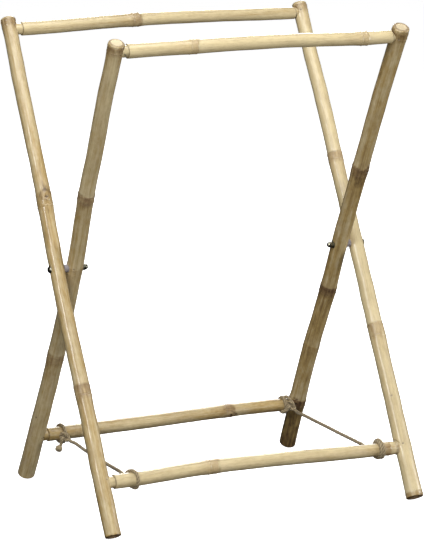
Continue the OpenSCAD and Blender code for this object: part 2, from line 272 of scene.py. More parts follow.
def pole_surface(name, base, e1, e2, axis, along, around, radius, shift, attributes, ends):
    """Point = base + axis times along + e1 times (shift_1 + r cos) + e2 times (shift_2 + r sin).
    ends holds, for the start and the end, the rings that turn in over the cut: pairs of a step
    along the pole and a share of the edge's radius, the last of them the middle of the cut."""
    first = [(along[:1] + step, radius[:1] * share) for step, share in ends[0]][::-1]
    last = [(along[-1:] - step, radius[-1:] * share) for step, share in ends[1]]

    def extend(values):
        return np.concatenate([np.repeat(values[:1], len(first), 0), values,
                               np.repeat(values[-1:], len(last), 0)])

    along = np.concatenate([*[f[0] for f in first], along, *[f[0] for f in last]])
    radius = np.concatenate([*[f[1] for f in first], radius, *[f[1] for f in last]])
    around, shift = extend(around), extend(shift)
    across, deep = radius * np.cos(around), radius * np.sin(around)
    rings = (base + axis * along[..., None] + e1 * (shift[..., 0] + across)[..., None]
             + e2 * (shift[..., 1] + deep)[..., None])
    cut = np.zeros(radius.shape)
    cut[:len(first)] = 1
    cut[len(cut) - len(last):] = 1
    filled = {key: extend(value) for key, value in attributes.items()}
    filled["cut"] = cut
    filled["grain"] = np.stack([across, deep, along + 0 * across], -1)
    return skin(name, rings, rings[0].mean(0), rings[-1].mean(0), filled)


AROUND_LEG = 72
AROUND_RAIL = 64

# Rows of a pole's grid: their distance, their distance near a mark, and how near that is.
LEG_ROWS = (4 * MM, 0.7 * MM, 13 * MM)
RAIL_ROWS = (4 * MM, 0.5 * MM, 12 * MM)

EDGE_DROP, EDGE_REACH = 1.3 * MM, 1.5 * MM   # rounding of a leg's sawn edges
DOT_DEPTH = 0.9 * MM
SEAM_DEPTH, SEAM_WIDTH = 0.7 * MM, 0.8 * MM  # round a tenon, where it enters a leg
SEAM_SPAN = 1.2                  # radians round the leg on either side of the tenon
SWAY_FROM = 80 * MM              # a leg sways freely from this far above and below the pivot

# The cut ends of a leg, as steps in along the pole and shares of its radius: a sawn rim with a
# shallow dish inside it at the top, and the hollow of the bamboo at the foot.
TOP_CUT = [(-0.55 * MM, 0.97), (-0.75 * MM, 0.92), (-0.7 * MM, 0.8), (-0.45 * MM, 0.72),
           (0.35 * MM, 0.68), (0.75 * MM, 0.6), (0.85 * MM, 0.35), (0.85 * MM, 0.05)]
FOOT_CUT = [(0.0, 0.95), (-0.35 * MM, 0.9), (-0.4 * MM, 0.75), (-0.2 * MM, 0.6),
            (1.2 * MM, 0.52), (9 * MM, 0.48), (22 * MM, 0.46), (26 * MM, 0.35), (27 * MM, 0.05)]

# The cut end of a rail, hidden in its leg.
RAIL_CUT = [(-0.4 * MM, 0.8), (-0.4 * MM, 0.05)]

# Each leg: its frame, its diameters in mm at foot, pivot and top, its nodes, its dots as (mm from
# the foot, degrees round the leg, mm wide), its bend as (mm from the foot, mm to the right of
# straight), and its tone as (mm from the foot, 0 pale to 1 dark).
LEGS = {
    "outer_leg_left": {
        "up": OUTER_UP, "body": "outer_frame", "d": (27.4, 25.4, 24.8),
        "nodes": [(236, 18, 0.9, 0.65, None), (563, 22, 1.2, 0.22, -92), (885, 11, 0.8, 0.6, None)],
        "dots": [],
        "bend": [(0, 3.4), (60, 2.6), (216, 2.0), (330, 0.6), (454, 0), (568, 2.6), (738, 2.4),
                 (900, 3.2)],
        "tone": [(0, 0.95), (2.5, 0.4), (5, 0.3), (60, 0.38), (110, 0.33), (200, 0.33), (260, 0.3),
                 (420, 0.42), (540, 0.42), (560, 0.44), (610, 0.42), (660, 0.37), (800, 0.24),
                 (870, 0.26), (900, 0.44)],
    },
    "outer_leg_right": {
        "up": OUTER_UP, "body": "outer_frame", "d": (28.6, 25.8, 24.6),
        "nodes": [(1, 7, 0.5, 0.3, None), (284, 22, 0.8, 0.35, None), (604, 13, 0.9, 0.6, None),
                  (884, 11, 0.8, 0.5, None)],
        "dots": [(304, -170, 2), (176, -118, 1.4)],
        "bend": [(0, 0.4), (72, 0.3), (242, 0.4), (350, 0.2), (454, 0), (568, -1.2), (702, -0.6),
                 (792, -2.2), (900, -3.0)],
        "tone": [(0, 0.95), (2.5, 0.36), (8, 0.24), (10, 0.06), (70, 0.08), (150, 0.15), (250, 0.14),
                 (300, 0.17), (310, 0.05), (430, 0.05), (600, 0.13), (625, 0.06), (800, 0.09),
                 (880, 0.12), (900, 0.36)],
    },
    "inner_leg_left": {
        "up": INNER_UP, "body": "inner_frame", "d": (29.8, 27.0, 25.0),
        "nodes": [(258, 14, 0.8, 0.5, None), (446, 12, 0.5, 0.25, None), (594, 14, 1.1, 0.9, None),
                  (885, 11, 0.9, 0.6, None)],
        "dots": [(459, -118, 1.2), (136, -150, 1.5)],
        "bend": [(0, -8.6), (68, -6.6), (149, -3.0), (256, -0.4), (454, 0), (536, -3.2),
                 (585, -5.6), (681, -7.4), (775, -9.2), (900, -9.8)],
        "tone": [(0, 0.95), (3, 0.34), (6, 0.24), (100, 0.22), (250, 0.33), (275, 0.24), (420, 0.26),
                 (570, 0.34), (615, 0.25), (780, 0.23), (870, 0.27), (900, 0.5)],
    },
    "inner_leg_right": {
        "up": INNER_UP, "body": "inner_frame", "d": (29.0, 27.4, 27.2),
        "nodes": [(96, 13, 1.2, 1.0, -126), (223, 12, 0.4, 0.2, None), (352, 13, 0.9, 0.9, None),
                  (607, 14, 1.0, 0.8, -60), (882, 11, 0.8, 0.4, None)],
        "dots": [(114, -146, 1.6)],
        "bend": [(0, 6.2), (27, 5.4), (140, 1.2), (250, 0.4), (357, 1.8), (454, 0), (640, 0),
                 (738, -0.2), (835, 1.8), (900, 3.0)],
        "tone": [(0, 1.0), (4, 0.86), (60, 0.76), (106, 0.66), (113, 0.4), (200, 0.46),
                 (300, 0.58), (362, 0.6), (370, 0.48), (520, 0.42), (600, 0.58), (625, 0.42),
                 (780, 0.36), (870, 0.42), (900, 0.62)],
    },
}


def leg_base(name):
    """The axis of a leg where its foot is cut, and the two directions across it."""
    leg = LEGS[name]
    x = middle(name)[0]
    foot = np.array([x, 0, PIVOT[2]]) - leg["up"] * PIVOT_UP
    return foot, ACROSS, np.cross(leg["up"], ACROSS)


def leg_bend(name, along):
    """How far a leg's axis is to the right of straight."""
    places, offsets = np.array(LEGS[name]["bend"], float).T * MM
    return curve_through(along, places, offsets)


def surface(along, stains, tone):
    """The attributes that the bamboo finish reads."""
    places, values = np.array(tone, float).T
    return {**stains, "shade": np.interp(along, places * MM, values) + 0 * stains["marks"]}


def make_leg(name, seed):
    """A leg: taper, ovality, nodes and ripples, flattened where the hardware sits, with a fine
    seam round each tenon."""
    leg = LEGS[name]
    base, e1, e2 = leg_base(name)
    foot, pivot, top = (d / 2 * MM for d in leg["d"])
    start = (foot - CAD_FOOT_RADIUS) * math.tan(LEAN)
    marked = [n[0] * MM for n in leg["nodes"] + leg["dots"]]
    fine_at = [*marked, PIVOT_UP, TOP_RAIL_UP, BOTTOM_RAIL_UP, start, LEG_LENGTH]
    along = rows_along(start, LEG_TOP, fine_at, *LEG_ROWS)[:, None]
    around = np.linspace(0, TURN, AROUND_LEG, endpoint=False)[None, :] + 0 * along
    plain = np.interp(along, [start, PIVOT_UP, LEG_LENGTH], [foot, pivot, top]) + 0 * around
    plain = plain * (1 + OVAL * np.cos(2 * around + seed))
    plain += ripples(seed, along, around, 0.45 * MM)
    height, stains = node_relief(along + 0 * around, around, leg["nodes"], plain)
    radius = plain + height
    edge = np.minimum(along - start, LEG_TOP - along)
    radius = radius - EDGE_DROP * np.clip(1 - edge / EDGE_REACH, 0, 1) ** 2
    inward = math.pi if base[0] > 0 else 0.0
    marks = stains["marks"]
    pin = -90 - math.copysign(PIN_ANGLE, base[0])
    pins = [(BOTTOM_RAIL_UP / MM, pin, PIN_SIZE), (TOP_RAIL_UP / MM, pin, PIN_SIZE)]
    for place, angle, size in leg["dots"] + pins:
        off = np.hypot(radius * angle_gap(around, math.radians(angle)), along - place * MM)
        radius = radius - DOT_DEPTH * bump(off, size * MM)
        marks = np.maximum(marks, bump(off, size * MM))
    for place in (TOP_RAIL_UP, BOTTOM_RAIL_UP):
        aside = radius * angle_gap(around, inward)
        off = np.hypot(aside, along - place) - TENON_RADIUS
        near = np.abs(angle_gap(around, inward)) < SEAM_SPAN
        radius = radius - SEAM_DEPTH * bump(off - 0.3 * MM, SEAM_WIDTH) * near
        marks = np.maximum(marks, 0.8 * bump(off - 0.2 * MM, SEAM_WIDTH) * near)
    stains["marks"] = marks
    across, deep = radius * np.cos(around), radius * np.sin(around)
    seat = np.hypot(deep, along - PIVOT_UP) < SEAT_RADIUS
    across = np.where(seat, np.clip(across, -SEAT_FROM_AXIS, SEAT_FROM_AXIS), across)
    radius, around = np.hypot(across, deep), np.arctan2(deep, across) % TURN
    bend = leg_bend(name, along[:, 0])[:, None] + 0 * around
    sway = ripples(seed + 7, along, 0 * around, 0.8 * MM)
    sway = sway * np.clip(np.abs(along - PIVOT_UP) / SWAY_FROM, 0, 1)
    piece = pole_surface(
        name + "_bamboo", base, e1, e2, leg["up"], along, around, radius,
        np.stack([bend, sway], -1), surface(along, stains, leg["tone"]),
        (FOOT_CUT, TOP_CUT))
    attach(piece, leg["body"])
    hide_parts(name)
    return piece


# Each rail: which frame, its place along the legs, its diameters in mm at its left and right end,
# how each end is cut, its nodes, its bend as (mm to the right of the middle, mm up along the legs)
# and its tone. A node is as on a leg, but its place is in mm to the right of the middle. Angles on
# a rail run from the top to the front, so the front is at 90. A step is a clean shoulder with its
# tenon in sight, a butt is a shoulder close to the leg, and a carved end tapers roughly.
RAILS = {
    "outer_top_rail": {
        "frame": "outer", "up_leg": TOP_RAIL_UP, "d": (22.8, 21.0), "cut": ("step", "butt"),
        "nodes": [(-49, 13, 1.1, 0.6, None)],
        "bend": [(-262, -3.4), (-150, -0.9), (-64, 1.8), (26, 2.6), (116, 1.5), (262, -1.2)],
        "tone": [(-260, 0.1), (-60, 0.18), (-36, 0.2), (-30, 0.08), (260, 0.16)],
    },
    "outer_bottom_rail": {
        "frame": "outer", "up_leg": BOTTOM_RAIL_UP, "d": (23.6, 22.2), "cut": ("step", "carved"),
        "nodes": [(-83, 15, 1.0, 0.4, None), (238, 10, 0.9, 0.45, None)],
        "bend": [(-262, -3.0), (-191, -2.0), (-106, 1.8), (-20, 2.2), (68, 0.7), (157, -1.8),
                 (262, -3.6)],
        "tone": [(-260, 0.2), (-190, 0.12), (-85, 0.14), (-60, 0.08), (200, 0.12), (240, 0.26)],
    },
    "inner_top_rail": {
        "frame": "inner", "up_leg": TOP_RAIL_UP, "d": (23.2, 21.4), "cut": ("step", "butt"),
        "nodes": [(-126, 12, 0.8, 0.4, None), (177, 12, 1.3, 0.2, None)],
        "bend": [(-232, -0.2), (-100, 1.4), (54, 1.7), (118, -0.2), (183, -2.2), (232, -1.4)],
        "tone": [(-230, 0.06), (100, 0.04), (180, 0.14), (205, 0.02), (230, 0.06)],
    },
    "inner_bottom_rail": {
        "frame": "inner", "up_leg": BOTTOM_RAIL_UP, "d": (23.6, 22.0), "cut": ("step", "step"),
        "nodes": [(-180, 10, 0.5, 0.15, None), (104, 14, 1.1, 0.7, 92)],
        "bend": [(-232, -5.2), (-109, -2.6), (-18, -0.6), (74, 2.3), (167, 3.4), (232, 2.4)],
        "tone": [(-230, 0.42), (-175, 0.3), (0, 0.3), (100, 0.42), (140, 0.36), (230, 0.5)],
    },
}


def rail_axis(name, x):
    """Points on a rail's bent axis at the places x across the rack."""
    rail = RAILS[name]
    up = OUTER_UP if rail["frame"] == "outer" else INNER_UP
    places, rise = np.array(rail["bend"], float).T * MM
    centre = PIVOT + up * (rail["up_leg"] - PIVOT_UP)
    x = np.asarray(x, float)
    return centre + ACROSS * x[..., None] + up * curve_through(x, places, rise)[..., None]


def rail_radius(name, x):
    """The plain radius of a rail at x, between its two end diameters."""
    left, right = RAILS[name]["d"]
    return np.interp(x, [-RAIL_ENDS_AT, RAIL_ENDS_AT], [left / 2 * MM, right / 2 * MM])


def make_rail(name, seed):
    """A rail between two legs: the plain pole with its nodes, each end cut as RAILS says, and the
    tenon that runs on into the leg. At a shoulder the radius eases down to the tenon's within a
    millimetre, and at a carved end it does so over ten, with chips."""
    rail = RAILS[name]
    frame_name = rail["frame"]
    up = OUTER_UP if frame_name == "outer" else INNER_UP
    legs = [f"{frame_name}_leg_left", f"{frame_name}_leg_right"]
    at = np.array([rail["up_leg"]])
    axes = [leg_base(leg)[0][0] + leg_bend(leg, at)[0] for leg in legs]
    face = [axes[0] + LEG_FACE, axes[1] - LEG_FACE]
    neck = [BUTT_NECK if cut == "butt" else NECK for cut in rail["cut"]]
    shoulder = [face[0] + neck[0], face[1] - neck[1]]
    ends = [face[0] - TENON_IN_LEG, face[1] + TENON_IN_LEG]
    fine_at = [n[0] * MM for n in rail["nodes"]] + [*shoulder, *ends]
    x = rows_along(*ends, fine_at, *RAIL_ROWS)[:, None]
    around = np.linspace(0, TURN, AROUND_RAIL, endpoint=False)[None, :] + 0 * x
    plain = rail_radius(name, x) * (1 + OVAL * np.cos(2 * around + seed))
    plain = plain + ripples(seed, x, around, 0.4 * MM)
    height, stains = node_relief(x + 0 * around, around, rail["nodes"], plain)
    radius, marks = plain + height, stains["marks"]
    for k, sign in ((0, 1), (1, -1)):
        inside = sign * (x - shoulder[k])
        wobble = 0.35 * MM * np.sin(2 * around + 3 * k + seed) + inside
        if rail["cut"][k] != "carved":
            share = np.clip(wobble / (0.9 * MM), 0, 1)
            share = share * (2 - share)
            low = TENON_RADIUS + 0.15 * MM * np.sin(5 * around + seed)
            marks = np.maximum(marks, 0.75 * bump(wobble, 0.7 * MM))
        else:
            share = np.clip((wobble + 7 * MM) / (10 * MM), 0, 1)
            share = share * share * (3 - 2 * share)
            chips = 0.35 * MM * np.sin(9 * around + 400 * x) * bump(inside, 5 * MM)
            low = TENON_RADIUS + 0.6 * MM + chips + 1.7 * MM * bump(inside + 6 * MM, 2.4 * MM)
            marks = np.maximum(marks, 0.3 * bump(wobble + 5 * MM, 3 * MM))
        radius = low + (radius - low) * share
    stains["marks"] = marks
    base = PIVOT + up * (rail["up_leg"] - PIVOT_UP)
    places, rise = np.array(rail["bend"], float).T * MM
    lift = curve_through(x[:, 0], places, rise)[:, None] + 0 * around
    piece = pole_surface(
        name + "_bamboo", base, up, np.cross(ACROSS, up), ACROSS, x, around, radius,
        np.stack([lift, 0 * lift], -1), surface(x, stains, rail["tone"]),
        (RAIL_CUT, RAIL_CUT))
    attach(piece, frame_name + "_frame")
    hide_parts(name)
    return piece


# --- rope ----------------------------------------------------------------------------------

ROPE_RADIUS = 2.8 * MM
ROPE_PITCH = 17 * MM             # length of rope in one turn of a strand
ROPE_AROUND = 24
ROPE_STEP = 0.9 * MM
ROPE_GROOVE = 0.25               # share of the radius by which it dips between strands
ROPE_TIP = 0.25                  # share of the radius left at the very tip
TIP_LENGTH = 2 * MM

# Routes of the free stretches, from beside a rear knot to behind the front rail, in mm. Each
# starts and ends with the easy bend that leads it on and off a rail.
ROUTE_LEFT = [
    (-198.6, 156.9, 81), (-198.2, 152.6, 76.8), (-198.4, 147.5, 75.2), (-201, 124, 77),
    (-205, 84, 79), (-210, 44, 81), (-214, 4, 84), (-218, -36, 85.8), (-222, -76, 87.4),
    (-225, -116, 89.4), (-225.6, -140, 89.6), (-225.8, -147.6, 88.8), (-226.2, -152.4, 86.6),
    (-226.6, -155.8, 83),
]
ROUTE_RIGHT = [
    (233.8, 156.7, 84.9), (234.6, 153, 81.5), (235, 147.7, 80), (232, 124, 81), (228, 84, 83),
    (225, 44, 84), (221.4, 4, 85.6), (218, -36, 86.8), (214.6, -76, 88.2), (211.4, -116, 89.6),
    (209.8, -140, 90.2), (210.4, -147.6, 89.8), (212.4, -153, 88.2),
]

# Turns round a rail as (mm across, degrees, mm from the rail's surface to the rope's middle).
# Degrees run from the side that faces the front, over the top.
REAR_TURN_LEFT = [
    (-207, -32, 4), (-207.5, -62, 2.8), (-207.5, -97, 2.5), (-207, -137, 2.4), (-206, -180, 2.4),
    (-205, -225, 2.4), (-203.3, -270, 2.4), (-201.3, -315, 2.5), (-199.4, -354, 2.8),
]
REAR_TURN_RIGHT = [
    (218.6, -28, 3.6), (218.4, -62, 2.6), (218.2, -97, 2.4), (218.2, -140, 2.4),
    (218.2, -180, 2.4), (218.2, -225, 2.4), (218.2, -270, 2.4), (218.4, -315, 2.4),
    (219, -360, 2.4), (220.4, -405, 2.4), (222.2, -450, 2.4), (223.6, -495, 2.4),
    (224.4, -540, 2.4), (225.2, -585, 2.4), (227, -630, 2.4), (229.8, -670, 2.5),
    (232.6, -706, 2.8),
]
FRONT_TURN_LEFT = [
    (-226.8, 199, 2.8), (-224.6, 220, 2.5), (-220.2, 242, 2.4), (-216.7, 263, 2.4),
    (-215.2, 286, 2.4), (-214.9, 322, 2.4), (-214.9, 360, 2.4), (-215.3, 400, 2.4),
    (-217.8, 440, 2.5), (-221.8, 478, 2.8), (-224.6, 510, 3.4), (-225, 532, 4.4),
]
FRONT_TURN_RIGHT = [
    (215.6, 183, 2.8), (219.4, 206, 2.5), (223, 230, 2.4), (225.6, 256, 2.4), (226.6, 285, 2.4),
    (226.8, 320, 2.4), (226.8, 360, 2.4), (226.9, 405, 2.4), (227.2, 450, 2.4),
    (228.2, 495, 2.4), (229.6, 540, 2.4), (231, 585, 2.4), (231.8, 630, 2.4), (232.1, 675, 2.4),
    (232.1, 720, 2.4), (231.9, 762, 2.6), (231.3, 800, 3.8), (230.2, 834, 5.6),
    (228.6, 866, 5.6), (227.2, 894, 4.2),
]


def round_rail(name, turns):
    """Places on turns of rope round a rail, as points in metres."""
    x, angle, gap = np.array(turns, float).T
    x, angle = x * MM, np.radians(angle)
    reach = (rail_radius(name, x) + gap * MM)[:, None]
    front, up = np.array([0.0, -1.0, 0.0]), np.array([0.0, 0.0, 1.0])
    out = front * np.cos(angle)[:, None] + up * np.sin(angle)[:, None]
    return rail_axis(name, x) + reach * out


def even_path(points, step):
    """The smooth curve through the points, with places about step apart along it."""
    points = np.asarray(points, float)
    chord = np.concatenate([[0], np.cumsum(np.linalg.norm(np.diff(points, axis=0), axis=1))])
    dense = curve_through(np.linspace(0, chord[-1], 4000), chord, points)
    along = np.concatenate([[0], np.cumsum(np.linalg.norm(np.diff(dense, axis=0), axis=1))])
    places = np.linspace(0, along[-1], int(along[-1] / step) + 1)
    return np.stack([np.interp(places, along, dense[:, k]) for k in range(3)], 1), places


def rope(name, points, reference):
    """A three-strand rope along a smooth curve through the points. At each place the section is a
    ring whose radius dips at three grooves, and the grooves turn by one lap in every pitch. The
    ring's own directions are square to the path and to a reference that the path never follows.
    Each tip narrows to a share of the radius over its last stretch."""
    path, along = even_path(points, ROPE_STEP)
    tangent = unit(np.gradient(path, axis=0))
    side = unit(np.cross(tangent, np.asarray(reference, float)))
    up = np.cross(side, tangent)
    angle = np.linspace(0, TURN, ROPE_AROUND, endpoint=False)[None, :]
    twist = (TURN * along / ROPE_PITCH)[:, None]
    lobe = np.abs(np.cos(1.5 * (angle - twist)))
    uneven = (1 + 0.03 * np.sin(along / (3.1 * MM)))[:, None]
    size = ROPE_RADIUS * (1.05 - ROPE_GROOVE * (1 - lobe) ** 1.3) * uneven
    for distance in (along, along[-1] - along):
        rounding = np.sqrt(np.clip(1 - (1 - distance / TIP_LENGTH).clip(0, 1) ** 2, 0, 1))
        size = size * (ROPE_TIP + (1 - ROPE_TIP) * rounding)[:, None]
    rings = (path[:, None] + side[:, None] * (size * np.cos(-angle))[..., None]
             + up[:, None] * (size * np.sin(-angle))[..., None])
    strand = np.stack([
        np.cos(angle - twist) * ROPE_RADIUS + 0 * size,
        np.sin(angle - twist) * ROPE_RADIUS + 0 * size,
        along[:, None] + 0 * size,
    ], -1)
    # groove is the depth between strands, where the jute material paints shade.
    piece = skin(name, rings, path[0], path[-1], {"lay": strand, "groove": 1 - lobe})
    return piece, path


def stay(side, name, turns_rear, route, turns_front):
    """One rope stay: its turns round the rear rail, the taut stretch and its turns round the
    front rail."""
    points = np.concatenate([round_rail("inner_bottom_rail", turns_rear),
                             np.array(route, float) * MM,
                             round_rail("outer_bottom_rail", turns_front)])
    piece, path = rope(name, points, ACROSS)
    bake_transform(piece)
    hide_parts(f"rope_span_{side}", f"rear_tie_{side}", f"front_tie_{side}")
    return piece, path


stay_left, path_left = stay(
    "left", "rope_left", REAR_TURN_LEFT, ROUTE_LEFT, FRONT_TURN_LEFT)
stay_right, path_right = stay(
    "right", "rope_right", REAR_TURN_RIGHT, ROUTE_RIGHT, FRONT_TURN_RIGHT)


KNOT_DEPTH = 3.4                 # how far a rear knot comes forward and goes back, in mm


def tight_knot(name, centre, size, turned, lead, tail):
    """A knot that faces the front: across = sin t + 2 sin 2t and high = cos t - 2 cos 2t, both
    times a size, and ahead = a depth times sin 3t. It is opened at one of its three lobes and
    turned by an angle in its own plane. The lead and the tail are places from its centre, in mm,
    for the rope's two ends."""
    centre = np.array(centre, float)
    t = np.linspace(math.pi + 0.3, 3 * math.pi - 0.3, 26)
    across, high = np.sin(t) + 2 * np.sin(2 * t), np.cos(t) - 2 * np.cos(2 * t)
    a = math.radians(turned)
    loops = centre + np.stack([size * (across * math.cos(a) - high * math.sin(a)),
                               -KNOT_DEPTH * np.sin(3 * t),
                               size * (across * math.sin(a) + high * math.cos(a))], 1)
    points = np.concatenate([centre + np.array(lead, float), loops,
                             centre + np.array(tail, float)]) * MM
    return rope(name, points, (0, 1, 0))[0]


knot_rear_left = tight_knot(
    "knot_rear_left", (-205.6, 153.6, 78.8), 2.85, -36, [(3, 6, -8)],
    [(-8, -2.6, -10.8), (-10, -3, -13.6), (-11.8, -3.2, -16.4)])
knot_rear_right = tight_knot(
    "knot_rear_right", (226.6, 154.6, 88.4), 2.8, -52, [(-5, 7, -7)],
    [(-10.6, -1, -6.6), (-13.6, 2, -8), (-17, 4.6, -9)])


def half_hitch(name, centre, tail):
    """A knot behind the front rail: about a turn and a half of rope that winds down round the
    strand at the back of the rail, and a short tail. Sizes are in mm."""
    centre = np.array(centre, float)
    points_round = 14
    angle = np.radians(np.linspace(-20, 560, points_round))
    drop = np.linspace(0, 9, points_round)
    loops = centre + np.stack([5.8 * np.cos(angle), 5.4 * np.sin(angle), 3 - drop], 1)
    points = np.concatenate([loops, centre + np.array(tail, float)]) * MM
    return rope(name, points, (0, 0, 1))[0]


knot_front_left = half_hitch("knot_front_left", (-229.6, -157, 81.4),
                             [(-2.5, 6.5, -8.6), (1.5, 7, -11.6), (4, 6, -15.5)])
knot_front_right = half_hitch("knot_front_right", (213.4, -156.6, 82),
                              [(-2.5, 6.5, -8.6), (-8, 6, -11), (-13, 4.4, -14)])


def stopper(name, centre, radius, axis):
    """A stopper knot: a ball wound with five grooves that lean round it, dimpled at its tip. The
    radius dips where the sine of two and a half times the leaning longitude is near zero."""
    rows, around, pole_gap = 40, 48, 0.04
    tall = np.linspace(pole_gap, math.pi - pole_gap, rows)[:, None]
    angle = np.linspace(0, TURN, around, endpoint=False)[None, :]
    lean = angle + 1.1 * tall
    wound = 1 - 0.12 * (1 - np.abs(np.sin(2.5 * lean))) ** 1.5 * np.sin(tall)
    size = radius * wound * (1 - 0.45 * bump(tall - math.pi, 0.5))
    axis = unit(np.array(axis, float))
    e1 = unit(np.cross(axis, [0.3, 0.9, 0.2]))
    e2 = np.cross(axis, e1)
    rings = (np.array(centre, float) * MM
             + e1 * (size * np.sin(tall) * np.cos(angle))[..., None]
             + e2 * (size * np.sin(tall) * np.sin(angle))[..., None]
             - axis * (size * np.cos(tall) + 0 * angle)[..., None])
    strand = np.stack([np.cos(lean) * radius, np.sin(lean) * radius, tall * radius + 0 * lean], -1)
    # groove is the depth of the ball's grooves, where the jute material paints shade.
    return skin(name, rings, rings[0].mean(0), rings[-1].mean(0),
                {"lay": strand, "groove": (1 - wound) * 5 + 0 * size})


ball = stopper("stopper_left", (-217.4, 150.6, 61.8), 6.4 * MM, (-0.45, -0.55, -0.7))

for piece, body, node in ((knot_rear_left, "inner_frame", None),
                          (knot_rear_right, "inner_frame", "rope_tail_right"),
                          (knot_front_left, "outer_frame", None),
                          (knot_front_right, "outer_frame", None),
                          (ball, "inner_frame", "rope_tail_left")):
    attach(piece, body)
    if node:
        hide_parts(node)

legs = {name: make_leg(name, seed) for seed, name in enumerate(LEGS, 11)}
rails = {name: make_rail(name, seed) for seed, name in enumerate(RAILS, 31)}

# --- materials -----------------------------------------------------------------------------


class Shader:
    """Builds one material: a Principled shader and the nodes that feed it."""

    def __init__(self, name, colour, roughness):
        self.material = bpy.data.materials.new(name)
        self.material.use_nodes = True
        self.tree = self.material.node_tree
        self.shade = self.tree.nodes["Principled BSDF"]
        self.shade.inputs["Base Color"].default_value = (*colour, 1)
        self.shade.inputs["Roughness"].default_value = roughness

    def node(self, kind, settings=None, **inputs):
        """Adds a node, with settings on it and values or links into its sockets."""
        made = self.tree.nodes.new(kind)
        for key, value in (settings or {}).items():
            setattr(made, key, value)
        for key, value in inputs.items():
            socket = made.inputs[int(key[1:])] if key[0] == "i" and key[1:].isdigit() \
                else made.inputs[key]
            if isinstance(value, bpy.types.NodeSocket):
                self.tree.links.new(value, socket)
            else:
                socket.default_value = value
        return made

    def attribute(self, name):
        """Reads an attribute of the mesh."""
        return self.node("ShaderNodeAttribute", {"attribute_name": name})

    def stretched(self, vector, scale):
        """Coordinates scaled along each axis, so that a pattern is drawn out along the grain."""
        return self.node("ShaderNodeMapping", {"vector_type": "POINT"}, Vector=vector,
                         Scale=scale).outputs[0]

    def noise(self, vector, scale=1.0, detail=3.0, rough=0.55, distort=0.0):
        """Fractal noise between about 0 and 1."""
        return self.node("ShaderNodeTexNoise", None, Vector=vector, Scale=scale, Detail=detail,
                         Roughness=rough, Distortion=distort).outputs["Fac"]

    def math(self, kind, a, b=0.0, clamp=False):
        """One arithmetic step."""
        return self.node("ShaderNodeMath", {"operation": kind, "use_clamp": clamp},
                         i0=a, i1=b).outputs[0]

    def centred(self, value, size):
        """Noise moved to swing about zero, times a size."""
        return self.math("MULTIPLY", self.math("SUBTRACT", value, 0.5), size)

    def ramp(self, value, low, high):
        """Straightens a value into 0 at low and 1 at high."""
        return self.node("ShaderNodeMapRange", None, Value=value, **{
            "From Min": low, "From Max": high}).outputs[0]

    def mix(self, share, a, b):
        """Blends colours a and b."""
        return self.node("ShaderNodeMix", {"data_type": "RGBA"}, i0=share, i6=a, i7=b).outputs[2]

    def relief(self, height, strength, distance):
        """Feeds a height into the shader's normal, on top of any relief already there."""
        made = self.node("ShaderNodeBump", None, Height=height, Strength=strength,
                         Distance=distance)
        before = self.shade.inputs["Normal"].links
        if before:
            self.tree.links.new(before[0].from_socket, made.inputs["Normal"])
        self.tree.links.new(made.outputs[0], self.shade.inputs["Normal"])

    def feed(self, socket, value):
        """Links a value into the Principled shader."""
        self.tree.links.new(value, self.shade.inputs[socket])

    def wear(self, piece):
        """Gives the material to a piece."""
        piece.data.materials.clear()
        piece.data.materials.append(self.material)


def rgba(*colour):
    """A colour with full alpha."""
    return (*colour, 1.0)


# The bamboo's tones, from a shade of 0 to a shade of 1.
PALE = (0.64, 0.53, 0.305)
STRAW = (0.51, 0.405, 0.225)
OLIVE = (0.405, 0.28, 0.108)
UMBER = (0.105, 0.062, 0.026)
SOOT = (0.06, 0.034, 0.016)      # scars and pins
FIBRE_DOT = (0.16, 0.09, 0.04)   # on the cut ends
WALL_FROM = (0.0086, 0.0098)     # radii in m between which a cut end turns from pith to wall


